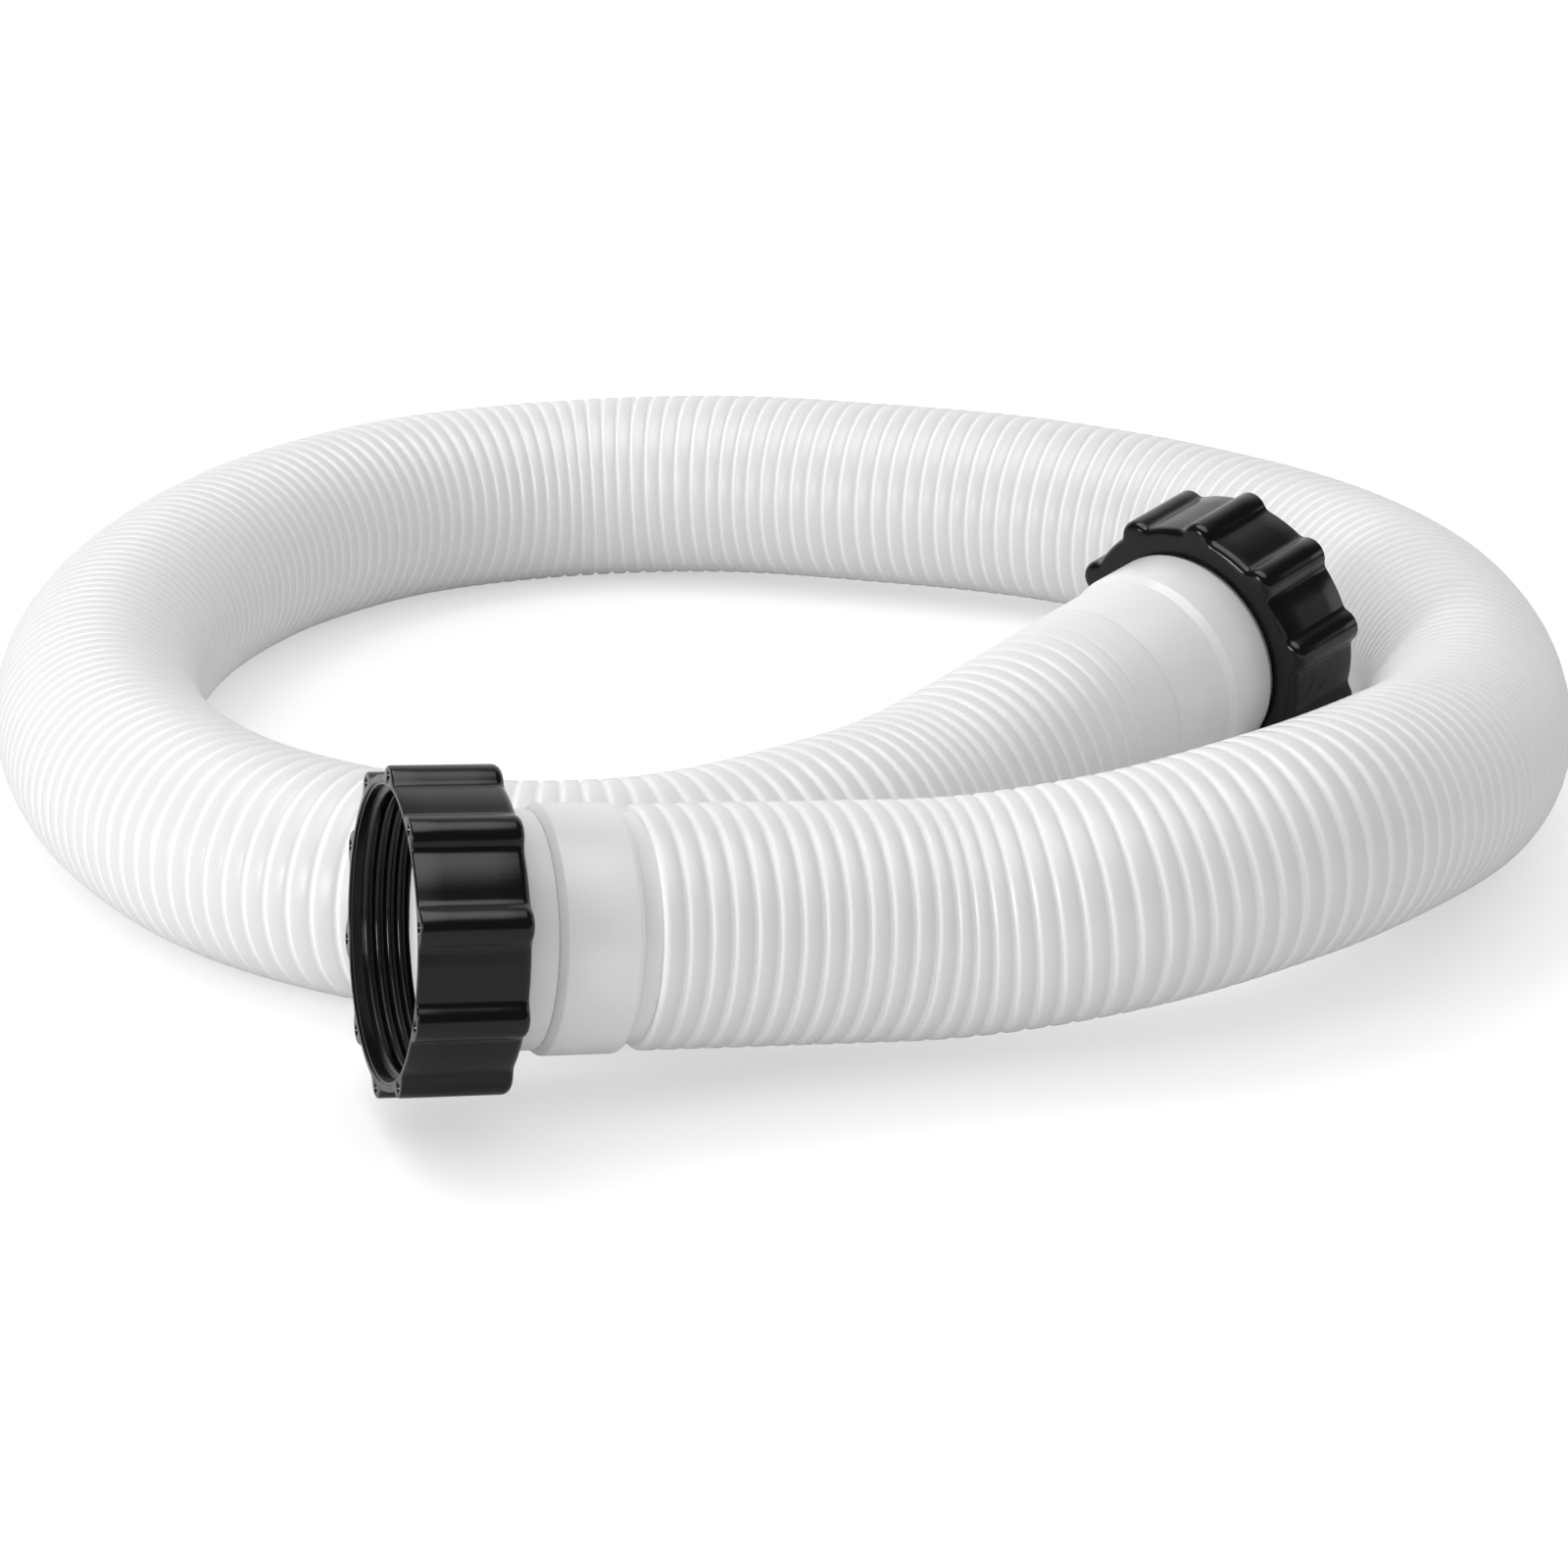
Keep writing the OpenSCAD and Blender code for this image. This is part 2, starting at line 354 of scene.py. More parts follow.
def level(points: Iterable[Vector], z: float) -> list[Vector]:
    """Returns flat points raised to one height."""
    return [Vector((p.x, p.y, z)) for p in points]


def finish_mesh(bm: bmesh.types.BMesh, name: str, place: Matrix, sharp_deg: float) -> bpy.types.Object:
    """Turns a bmesh in millimetres into a piece in metres, with its place in its mesh.

    Args:
        bm: the mesh, which is freed.
        name: name of the piece.
        place: where the piece stands, in millimetres.
        sharp_deg: edges that turn by more than this many degrees are shaded sharp.

    Returns:
        The new object.
    """
    bmesh.ops.remove_doubles(bm, verts=bm.verts, dist=WELD_MM)
    bmesh.ops.recalc_face_normals(bm, faces=bm.faces)
    if bm.calc_volume(signed=True) < 0:
        bmesh.ops.reverse_faces(bm, faces=bm.faces)
    bmesh.ops.transform(bm, matrix=Matrix.Scale(MM, 4) @ place, verts=bm.verts)
    for face in bm.faces:
        face.smooth = True
    limit = math.radians(sharp_deg)
    for edge in bm.edges:
        edge.smooth = len(edge.link_faces) == 2 and edge.calc_face_angle(0.0) < limit
    mesh = bpy.data.meshes.new(name)
    bm.to_mesh(mesh)
    bm.free()
    piece = bpy.data.objects.new(name, mesh)
    bpy.context.scene.collection.objects.link(piece)
    return piece


def dress(
    piece: bpy.types.Object, material: bpy.types.Material, body: Body, node: str
) -> None:
    """Gives a piece its material and body, and lets it stand for its CAD node.

    Args:
        piece: the piece.
        material: its material.
        body: the rigid body that it rides on.
        node: the CAD node that it stands for.
    """
    piece.data.materials.append(material)
    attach(piece, body.value)
    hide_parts(node)
    LOG.info("%s: %d faces", piece.name, len(piece.data.polygons))


# ---- Node helpers ----


def joined(
    tree: bpy.types.NodeTree,
    how: Join,
    first: bpy.types.NodeSocket,
    second: bpy.types.NodeSocket | float,
) -> bpy.types.NodeSocket:
    """Joins two numbers with a Math node.

    Args:
        tree: the node tree.
        how: the way of joining them.
        first: the socket with the first number.
        second: the second number, or the socket with it.

    Returns:
        The socket with the result.
    """
    node = tree.nodes.new("ShaderNodeMath")
    node.operation = how.value
    tree.links.new(first, node.inputs[0])
    if isinstance(second, bpy.types.NodeSocket):
        tree.links.new(second, node.inputs[1])
    else:
        node.inputs[1].default_value = second
    return node.outputs[0]


def noise(
    tree: bpy.types.NodeTree, where: bpy.types.NodeSocket, scale: float, detail: float
) -> bpy.types.NodeSocket:
    """Makes a noise pattern.

    Args:
        tree: the node tree.
        where: the socket with the coordinates.
        scale: the pattern's scale.
        detail: the number of finer layers in it.

    Returns:
        The socket with the pattern's strength.
    """
    node = tree.nodes.new("ShaderNodeTexNoise")
    node.inputs["Scale"].default_value = scale
    node.inputs["Detail"].default_value = detail
    tree.links.new(where, node.inputs["Vector"])
    return node.outputs["Fac"]


def blended(tree: bpy.types.NodeTree, factor: bpy.types.NodeSocket) -> bpy.types.ShaderNodeMix:
    """Makes a mix of two colours.

    Args:
        tree: the node tree.
        factor: the socket with the share of colour B.

    Returns:
        The Mix node, whose sockets A and B take the colours.
    """
    mix = tree.nodes.new("ShaderNodeMix")
    mix.data_type = "RGBA"
    tree.links.new(factor, mix.inputs["Factor"])
    return mix


def seen(tree: bpy.types.NodeTree) -> bpy.types.NodeSocket:
    """Returns a socket that is 1 where a surface is seen directly or through another."""
    path = tree.nodes.new("ShaderNodeLightPath")
    return joined(tree, Join.LARGER, path.outputs["Is Camera Ray"], path.outputs["Is Transmission Ray"])


# ---- Finishes ----


@dataclass(frozen=True)
class Plastic:
    """A moulded plastic: colour, gloss, faint mottling and the fine unevenness of its skin."""

    name: str
    colour: tuple[float, float, float]
    dark_colour: tuple[float, float, float]
    roughness: tuple[float, float]
    mottle_scale: float
    skin_scale: float
    skin_depth_mm: float
    ior: float = 1.49
    glow: float = 0.0
    glow_reach_mm: float = 0.01
    # Colour painted into the grooves: painted light that shows them as bright lines
    painted_light_colour: tuple[float, float, float] | None = None
    mottle_span: tuple[float, float] = (0.1, 0.9)
    mottle_detail: float = 3.0
    skin_detail: float = 2.0

    def build(self) -> bpy.types.Material:
        """Makes the material out of nodes.

        Returns:
            The new material.
        """
        material = bpy.data.materials.new(self.name)
        material.use_nodes = True
        tree = material.node_tree
        shader = tree.nodes["Principled BSDF"]
        shader.inputs["IOR"].default_value = self.ior
        shader.inputs["Subsurface Weight"].default_value = self.glow
        shader.inputs["Subsurface Radius"].default_value = (1.0, 1.0, 1.0)
        shader.inputs["Subsurface Scale"].default_value = self.glow_reach_mm * MM
        where = tree.nodes.new("ShaderNodeTexCoord").outputs["Object"]
        mottle = noise(tree, where, self.mottle_scale, self.mottle_detail)
        tree.links.new(self._paint(tree, mottle), shader.inputs["Base Color"])
        tree.links.new(self._gloss(tree, mottle), shader.inputs["Roughness"])
        tree.links.new(self._skin(tree, where), shader.inputs["Normal"])
        return material

    def _paint(self, tree: bpy.types.NodeTree, mottle: bpy.types.NodeSocket) -> bpy.types.NodeSocket:
        """Mixes the plastic's colours.

        Args:
            tree: the node tree.
            mottle: the socket with the mottling.

        Returns:
            The socket with the colour. It carries painted light: it is lighter where the hose's mesh
            marks its grooves for it.
        """
        tint = blended(tree, mottle)
        tint.inputs["A"].default_value = (*self.dark_colour, 1)
        tint.inputs["B"].default_value = (*self.colour, 1)
        if not self.painted_light_colour:
            return tint.outputs["Result"]
        # Painted light: each point's share of the whiter groove colour, read from the hose's mesh
        wall = tree.nodes.new("ShaderNodeAttribute")
        wall.attribute_name = PAINTED_LIGHT_ATTR
        light_paint = blended(tree, wall.outputs["Fac"])
        tree.links.new(tint.outputs["Result"], light_paint.inputs["A"])
        light_paint.inputs["B"].default_value = (*self.painted_light_colour, 1)
        return light_paint.outputs["Result"]

    def _gloss(self, tree: bpy.types.NodeTree, mottle: bpy.types.NodeSocket) -> bpy.types.NodeSocket:
        """Lets the roughness follow the mottling.

        Args:
            tree: the node tree.
            mottle: the socket with the mottling.

        Returns:
            The socket with the roughness.
        """
        gloss = tree.nodes.new("ShaderNodeMapRange")
        gloss.inputs["From Min"].default_value, gloss.inputs["From Max"].default_value = self.mottle_span
        gloss.inputs["To Min"].default_value, gloss.inputs["To Max"].default_value = self.roughness
        tree.links.new(mottle, gloss.inputs["Value"])
        return gloss.outputs["Result"]

    def _skin(self, tree: bpy.types.NodeTree, where: bpy.types.NodeSocket) -> bpy.types.NodeSocket:
        """Makes the skin slightly uneven.

        Args:
            tree: the node tree.
            where: the socket with the coordinates.

        Returns:
            The socket with the surface's direction.
        """
        bump = tree.nodes.new("ShaderNodeBump")
        bump.inputs["Strength"].default_value = 1.0
        bump.inputs["Distance"].default_value = self.skin_depth_mm * MM
        tree.links.new(noise(tree, where, self.skin_scale, self.skin_detail), bump.inputs["Height"])
        return bump.outputs["Normal"]


RIBBED_WHITE = Plastic(
    name="ribbed_white_plastic",
    colour=(0.77, 0.77, 0.773),
    dark_colour=(0.755, 0.756, 0.76),
    roughness=(0.32, 0.36),
    mottle_scale=45.0,
    skin_scale=900.0,
    skin_depth_mm=0.02,
    glow=0.3,
    glow_reach_mm=1.5,
    # Painted light: the grooves are painted white so that they read as bright lines between the ribs
    painted_light_colour=(1.0, 1.0, 1.0),
)
MOULDED_WHITE = Plastic(
    name="moulded_white_plastic",
    colour=(0.82, 0.82, 0.822),
    dark_colour=(0.812, 0.812, 0.815),
    roughness=(0.27, 0.3),
    mottle_scale=25.0,
    skin_scale=1400.0,
    skin_depth_mm=0.015,
    glow=0.2,
    glow_reach_mm=2.0,
)
MOULDED_BLACK = Plastic(
    name="moulded_black_plastic",
    colour=(0.006, 0.006, 0.0065),
    dark_colour=(0.004, 0.004, 0.0045),
    roughness=(0.15, 0.2),
    mottle_scale=90.0,
    skin_scale=1200.0,
    skin_depth_mm=0.008,
    ior=1.42,
)
WHITE_RUBBER = Plastic(
    name="white_washer_rubber",
    colour=(0.84, 0.84, 0.83),
    dark_colour=(0.79, 0.79, 0.78),
    roughness=(0.55, 0.7),
    mottle_scale=70.0,
    skin_scale=2200.0,
    skin_depth_mm=0.03,
)


# ---- Hose ----


# A rib's outline: place along one pitch, and depth below the crest as a share of the groove
RIB = (
    (0.0, 1.0),
    (0.07, 0.82),
    (0.13, 0.3),
    (0.23, 0.0),
    (0.77, 0.0),
    (0.87, 0.3),
    (0.93, 0.82),
)


@dataclass
class RibbedHose:
    """The flexible tube, with a rib every few millimetres and a smooth bore."""

    line: Centreline
    rib: tuple[tuple[float, float], ...] = RIB
    crest_r: float = 25.2
    groove_depth: float = 0.65
    bore_r: float = 22.5
    ribs: int = 266
    sides: int = 48
    bore_steps: int = 120
    path_steps: int = 480
    floor: float = 0.05
    plain_len: float = 4.0
    fade_len: float = 34.0
    # Painted light: the plain stretch by the inner cuff is painted a little lighter
    plain_painted_light: float = 0.2
    sharp_deg: float = 75.0

    def _strength(self, s: float) -> float:
        """Returns how deep the grooves are at length s: they fade out towards the inner cuff."""
        left = (self.line.length - s - self.plain_len) / self.fade_len
        return min(max(left, 0.0), 1.0)

    def _skin_ring(self, s: float, depth: float) -> tuple[float, float]:
        """Returns (length, radius) of a ring of the skin at a share of the groove's depth."""
        return s, self.crest_r - self.groove_depth * depth * self._strength(s)

    def _rings(self) -> list[tuple[float, float]]:
        """Lists the rings along the skin and back along the bore.

        Returns:
            Each ring's length along the hose and its radius.
        """
        pitch = self.line.length / self.ribs
        rings = []
        for rib in range(self.ribs):
            rings.extend(self._skin_ring((rib + place) * pitch, depth) for place, depth in self.rib)
        rings.append(self._skin_ring(self.line.length, 1.0))
        for k in range(self.bore_steps, -1, -1):
            rings.append((self.line.length * k / self.bore_steps, self.bore_r))
        return rings

    def _painted_light_share(self, s: float, r: float) -> float:
        """Works out how much painted light a ring gets: the grooves are painted lighter to show bright
        lines, and the plain end a little lighter.

        Args:
            s: the length along the hose.
            r: the radius of the ring there.

        Returns:
            1 at the bottom of a groove, 0 on a crest, and a little where the ribs have faded out.
        """
        sunk = min(max((self.crest_r - r) / self.groove_depth, 0.0), 1.0)
        return max(sunk, self.plain_painted_light * (1 - self._strength(s)))

    def build(self) -> bpy.types.Object:
        """Builds the hose: a grid whose rows are wrapped round the centreline and welded shut.

        Returns:
            The piece.
        """
        rings = self._rings()
        rings.append(rings[0])
        rows = len(rings) - 1
        bm = bmesh.new()
        bmesh.ops.create_grid(bm, x_segments=rows, y_segments=self.sides, size=0.5)
        # Painted light: each point's share of the whiter colour, highest in the grooves
        light_paint = bm.verts.layers.float.new(PAINTED_LIGHT_ATTR)
        frames = [self.line.frame(s) for s, _ in rings]
        for vert in bm.verts:
            row = round((vert.co.x + 0.5) * rows)
            angle = (vert.co.y + 0.5) * FULL_TURN
            s, r = rings[row]
            centre, side, up = frames[row]
            spoke = side * math.cos(angle) + up * math.sin(angle)
            vert.co = centre + spoke * r
            vert[light_paint] = self._painted_light_share(s, r)
            vert.co.z = max(vert.co.z, self.floor)
        return finish_mesh(bm, "hose_skin", Matrix.Identity(4), self.sharp_deg)

    def declare(self, fittings: Iterable[bpy.types.Object]) -> None:
        """Works out points along the centreline in metres, and does nothing more with them.

        Args:
            fittings: not used.
        """
        steps = self.path_steps
        length = self.line.length
        path = [self.line.at(self.line.u_at(length * k / steps)) * MM for k in range(steps + 1)]


# ---- End fittings, drawn along +Z from the end of the hose at z = 0 ----


@dataclass
class Fitting:
    """The cuff, the tailpiece and the washer of one end, and where its nut stands."""

    end: End
    place: Matrix
    has_neck: bool
    neck_r: float = 23.6
    neck_len: float = 4.0
    cuff_r: float = 25.6
    cuff_len: float = 17.5
    cuff_slope: tuple[float, float] = (1.2, 1.6)
    level_r: float = 25.1
    sleeve_step: tuple[float, float] = (3.2, 0.9)
    sleeve_r: tuple[float, float] = (26.0, 25.8)
    sleeve_gap: float = 4.4
    lining_gap: float = 0.05
    spigot_r: float = 22.35
    spigot_wall: float = 1.8
    spigot_len: float = 12.0
    stem_r: float = 22.0
    stem_len: float = 15.0
    joint_gap: float = 0.15
    tail_r: float = 24.4
    tail_bore_r: float = 20.0
    tail_len: float = 14.0
    flange_r: float = 27.6
    flange_len: float = 2.5
    washer_r: float = 27.5
    washer_hole_r: float = 20.5
    washer_len: float = 1.8
    sides: int = 128
    sharp_deg: float = 40.0

    @property
    def cuff_end(self) -> float:
        """Height of the cuff's end."""
        return self.neck_len + self.cuff_len

    @property
    def socket_r(self) -> float:
        """Radius of the cuff's socket for the tailpiece's stem."""
        return self.stem_r + self.joint_gap

    @property
    def stem_rear(self) -> float:
        """Height of the stem's rear end and of the socket's bottom."""
        return self.cuff_end - self.stem_len

    @property
    def flange_rear(self) -> float:
        """Height of the flange's rear face, which the nut pulls on."""
        return self.cuff_end + self.tail_len

    @property
    def flange_front(self) -> float:
        """Height of the flange's front face, on which the washer lies."""
        return self.flange_rear + self.flange_len

    def _ring(self, name: str, corners: Sequence[Corner]) -> bpy.types.Object:
        """Spins an outline round the end's axis.

        Args:
            name: the piece's name, without its end.
            corners: the outline's corners in order.

        Returns:
            The piece.
        """
        bm = bmesh.new()
        lathe(bm, rounded(corners), self.sides)
        return finish_mesh(bm, f"{self.end.value}_{name}", self.place, self.sharp_deg)

    def _necked_outside(self) -> list[Corner]:
        """Draws the outside of a cuff with a narrow neck next to the hose.

        Returns:
            The corners from the hose to the cuff's end.
        """
        inward, back = self.cuff_slope
        return [
            Corner(self.neck_r, 0.0, 0.3),
            Corner(self.neck_r, self.neck_len, 0.5),
            Corner(self.cuff_r, self.neck_len, 1.5),
            Corner(self.cuff_r, self.cuff_end - back, 0.8),
            Corner(self.cuff_r - inward, self.cuff_end, 0.4),
            Corner(self.socket_r, self.cuff_end, 0.2),
        ]

    def _sleeved_outside(self) -> list[Corner]:
        """Draws the outside of a cuff that is level with the hose and ends in a wider sleeve.

        Returns:
            The corners from the hose to the bottom of the sleeve.
        """
        step_start, step_end = self.sleeve_step
        first_r, last_r = self.sleeve_r
        sleeve_end = self.flange_rear - self.sleeve_gap
        lining_r = self.tail_r + self.lining_gap
        return [
            Corner(self.level_r, 0.0, 0.1),
            Corner(self.level_r, self.cuff_end - step_start, 0.3),
            Corner(first_r, self.cuff_end - step_end, 0.5),
            Corner(last_r, sleeve_end, 0.5),
            Corner(lining_r, sleeve_end),
            Corner(lining_r, self.cuff_end),
            Corner(self.socket_r, self.cuff_end),
        ]

    def cuff(self) -> bpy.types.Object:
        """Builds the cuff, with its spigot in the hose and its socket for the tailpiece.

        Returns:
            The piece.
        """
        inner_r = self.spigot_r - self.spigot_wall
        return self._ring(
            "cuff_shell",
            [
                Corner(inner_r, -self.spigot_len),
                Corner(self.spigot_r, -self.spigot_len, 0.4),
                Corner(self.spigot_r, 0.0),
                *(self._necked_outside() if self.has_neck else self._sleeved_outside()),
                Corner(self.socket_r, self.stem_rear),
                Corner(inner_r, self.stem_rear),
            ],
        )

    def tailpiece(self) -> bpy.types.Object:
        """Builds the tailpiece: the stem in the cuff, the tail in the nut, and the flange.

        Returns:
            The piece.
        """
        return self._ring(
            "tail",
            [
                Corner(self.tail_bore_r, self.stem_rear, 0.4),
                Corner(self.stem_r, self.stem_rear, 0.6),
                Corner(self.stem_r, self.cuff_end),
                Corner(self.tail_r, self.cuff_end, 0.5),
                Corner(self.tail_r, self.flange_rear, 0.6),
                Corner(self.flange_r, self.flange_rear, 0.5),
                Corner(self.flange_r, self.flange_front, 0.3),
                Corner(self.tail_bore_r, self.flange_front, 0.4),
            ],
        )

    def washer(self) -> bpy.types.Object:
        """Builds the flat washer on the flange's face.

        Returns:
            The piece.
        """
        front = self.flange_front + self.washer_len
        return self._ring(
            "washer_ring",
            [
                Corner(self.washer_hole_r, self.flange_front, 0.3),
                Corner(self.washer_r, self.flange_front, 0.3),
                Corner(self.washer_r, front, 0.5),
                Corner(self.washer_hole_r, front, 0.5),
            ],
        )

    def build(self) -> list[bpy.types.Object]:
        """Builds and dresses the end's three fixed pieces.

        Returns:
            The pieces.
        """
        white = MOULDED_WHITE.build()
        rubber = WHITE_RUBBER.build()
        made = []
        for piece, material, slot, node in (
            (self.cuff(), white, Slot.HOSE, "cuff"),
            (self.tailpiece(), white, Slot.FITTING, "tailpiece"),
            (self.washer(), rubber, Slot.WASHER, "sealing_washer"),
        ):
            dress(piece, material, Body.HOSE, f"{self.end.value}_{node}")
            made.append(piece)
        return made


@dataclass
class UnionNut:
    """A nut with rounded grip lobes, a helical inside thread and a blind hole in each lobe."""

    end: End
    place: Matrix
    rear_z: float
    turn_deg: float
    body: Body
    length: float = 23.0
    lobes: int = 10
    lobe_r: float = 4.4
    lobe_steps: int = 7
    lobe_top_r: float = 34.5
    valley_r: float = 31.8
    valley_steps: int = 3
    fillet_r: float = 2.4
    fillet_steps: int = 5
    side_steps: int = 4
    rear_round: float = 2.0
    rear_steps: int = 6
    front_round: float = 0.45
    front_steps: int = 3
    hole_r: float = 24.9
    hole_chamfer: float = 0.4
    rear_wall: float = 3.0
    wall_fillet: float = 0.5
    mouth_r: float = 30.35
    mouth_len: float = 0.4
    mouth_chamfer: float = 0.2
    step_len: float = 0.5
    step_slope: float = 0.15
    root_r: float = 29.85
    crest_r: float = 28.35
    crest_land: float = 0.5
    crest_drops: tuple[float, float] = (0.08, 0.45)
    pitch: float = 2.309
    first_crest: float = 1.5
    flank_share: float = 0.8
    foot_depth: float = 0.35
    thread_turns: int = 5
    thread_steps: int = 96
    lead_steps: int = 12
    pin_hole_r: float = 1.15
    pin_hole_len: float = 8.0
    pin_hole_shift: float = 0.1
    pin_hole_squash: float = 0.85
    pin_hole_sides: int = 20
    shell_sharp_deg: float = 38.0
    thread_sharp_deg: float = 80.0

    def outline(self, inset: float) -> list[Vector]:
        """Draws the nut's outline, seen along its axis.

        Args:
            inset: how far the outline is moved inwards, in millimetres.

        Returns:
            The points, the same number for every inset.
        """
        centre = self.lobe_top_r - self.lobe_r
        fillet_away = self.valley_r + self.fillet_r
        reach = self.lobe_r + self.fillet_r
        foot = math.acos((centre**2 + fillet_away**2 - reach**2) / (2 * centre * fillet_away))
        lobe_at = Vector((centre, 0))
        fillet_at = polar(fillet_away, foot)
        lean = math.atan2(fillet_at.y, fillet_at.x - centre)
        valley_end = math.pi / self.lobes
        half: list[Vector] = []
        for k in range(self.lobe_steps):
            half.append(lobe_at + polar(self.lobe_r - inset, lean * k / self.lobe_steps))
        for k in range(self.fillet_steps + 1):
            angle = lean + math.pi + (foot - lean) * k / self.fillet_steps
            half.append(fillet_at + polar(self.fillet_r + inset, angle))
        for k in range(1, self.valley_steps + 1):
            angle = foot + (valley_end - foot) * k / self.valley_steps
            half.append(polar(self.valley_r - inset, angle))
        lobe = [Vector((p.x, -p.y)) for p in reversed(half[1:-1])] + half
        points = []
        for k in range(self.lobes):
            turn = Matrix.Rotation(k * FULL_TURN / self.lobes, 2)
            points.extend(turn @ p for p in lobe)
        return points

    def _outside_rows(self) -> list[list[Vector]]:
        """Draws the lobed rows, from the rounded rear edge to the rounded front edge.

        Returns:
            The rows of points.
        """
        rows = []
        for k in range(self.rear_steps + 1):
            angle = math.pi / 2 * k / self.rear_steps
            inset = self.rear_round * (1 - math.sin(angle))
            rows.append(level(self.outline(inset), self.rear_round * (1 - math.cos(angle))))
        straight = self.length - self.front_round - self.rear_round
        for k in range(1, self.side_steps):
            rows.append(level(self.outline(0.0), self.rear_round + straight * k / self.side_steps))
        for k in range(self.front_steps + 1):
            angle = math.pi / 2 * k / self.front_steps
            inset = self.front_round * (1 - math.cos(angle))
            z = self.length - self.front_round * (1 - math.sin(angle))
            rows.append(level(self.outline(inset), z))
        return rows

    def _rows(self) -> list[list[Vector]]:
        """Draws all rows: out of the hole, up the outside, over the front, and down the inside.

        Returns:
            The rows of points, the same number in each.
        """
        spokes = [p.normalized() for p in self.outline(0.0)]
        step_z = self.length - self.mouth_len
        hole = (
            (self.hole_r, self.rear_wall),
            (self.hole_r, self.hole_chamfer),
            (self.hole_r + self.hole_chamfer, 0.0),
        )
        inside = (
            (self.mouth_r + self.mouth_chamfer, self.length),
            (self.mouth_r, self.length - self.mouth_chamfer),
            (self.mouth_r, step_z),
            (self.root_r, step_z - self.step_slope),
            (self.root_r, step_z - self.step_len),
            (self.root_r, (step_z + self.rear_wall) / 2),
            (self.root_r, self.rear_wall + self.wall_fillet),
            (self.root_r - self.wall_fillet, self.rear_wall),
        )
        hole_rows, inside_rows = (
            [level((s * r for s in spokes), z) for r, z in circles] for circles in (hole, inside)
        )
        return hole_rows + self._outside_rows() + inside_rows

    @staticmethod
    def _edge(a: bmesh.types.BMVert, b: bmesh.types.BMVert) -> bmesh.types.BMEdge:
        """Returns the edge between two neighbouring points."""
        return next(e for e in a.link_edges if e.other_vert(a) is b)

    def _shell(self, bm: bmesh.types.BMesh) -> None:
        """Adds the nut's body: one round row, drawn out row by row and joined to its start.

        Args:
            bm: the mesh that takes it.
        """
        rows = self._rows()
        first = bmesh.ops.create_circle(bm, segments=len(rows[0]), radius=1.0)["verts"]
        bm.verts.ensure_lookup_table()
        loop = sorted(first, key=lambda v: v.index)
        for vert, point in zip(loop, rows[0]):
            vert.co = point
        start = [self._edge(a, b) for a, b in zip(loop, loop[1:] + loop[:1])]
        edges = start
        for row in rows[1:]:
            grown = bmesh.ops.extrude_edge_only(bm, edges=edges)["geom"]
            made = {v for v in grown if isinstance(v, bmesh.types.BMVert)}
            loop = [next(e.other_vert(v) for e in v.link_edges if e.other_vert(v) in made) for v in loop]
            for vert, point in zip(loop, row):
                vert.co = point
            edges = [self._edge(a, b) for a, b in zip(loop, loop[1:] + loop[:1])]
        bmesh.ops.bridge_loops(bm, edges=start + edges)

    def _thread(self, bm: bmesh.types.BMesh) -> None:
        """Adds the thread: a ridge spun down the inside wall, sinking into it at both ends.

        Args:
            bm: the mesh that takes it.
        """
        flank = self.flank_share * (self.pitch - self.crest_land) / 2
        foot_r = self.root_r + self.foot_depth
        top_z = self.length - self.first_crest
        half = self.crest_land / 2
        shoulder, side = self.crest_drops
        slope = [
            (self.crest_r + shoulder, half),
            (self.crest_r + side, self.crest_land),
            (foot_r, half + flank),
        ]
        section = [(r, top_z - z) for r, z in reversed(slope)]
        section += [(self.crest_r, top_z)]
        section += [(r, top_z + z) for r, z in slope]
        steps = self.thread_steps * self.thread_turns
        verts = [bm.verts.new((r, 0, z)) for r, z in section]
        face = bm.faces.new(verts)
        before = set(bm.verts)
        bmesh.ops.spin(
            bm,
            geom=[face, *face.edges, *verts],
            axis=(0, 0, 1),
            cent=(0, 0, 0),
            dvec=(0, 0, -self.pitch / self.thread_steps),
            angle=FULL_TURN * steps / self.thread_steps,
            steps=steps,
            use_duplicate=False,
        )
        ridge = verts + [v for v in bm.verts if v not in before]
        for i, vert in enumerate(ridge):
            step = i // len(section)
            rise = min(step / self.lead_steps, (steps - step) / self.lead_steps, 1.0)
            r = vert.co.xy.length
            wanted = foot_r - (foot_r - r) * rise
            vert.co.x *= wanted / r
            vert.co.y *= wanted / r

    def _drill(self, shell: bpy.types.Object) -> None:
        """Drills the blind hole into each lobe's front.

        Args:
            shell: the nut's body, whose mesh is replaced by the drilled one.
        """
        bm = bmesh.new()
        away = (self.lobe_top_r + self.mouth_r) / 2 + self.pin_hole_shift
        spot = Matrix.Translation((away, 0, self.length))
        for k in range(self.lobes):
            turn = Matrix.Rotation(k * FULL_TURN / self.lobes, 4, "Z")
            bmesh.ops.create_cone(
                bm,
                cap_ends=True,
                segments=self.pin_hole_sides,
                radius1=self.pin_hole_r,
                radius2=self.pin_hole_r,
                depth=2 * self.pin_hole_len,
                matrix=turn @ spot @ Matrix.Diagonal((self.pin_hole_squash, 1.0, 1.0, 1.0)),
            )
        drills = finish_mesh(bm, "drills", self._stand(), sharp_deg=40)
        cut = shell.modifiers.new("holes", "BOOLEAN")
        cut.operation = "DIFFERENCE"
        cut.solver = "EXACT"
        cut.object = drills
        shape = shell.evaluated_get(bpy.context.evaluated_depsgraph_get())
        drilled = bpy.data.meshes.new_from_object(shape)
        shell.modifiers.clear()
        old, shell.data = shell.data, drilled
        bpy.data.meshes.remove(old)
        bpy.data.objects.remove(drills)

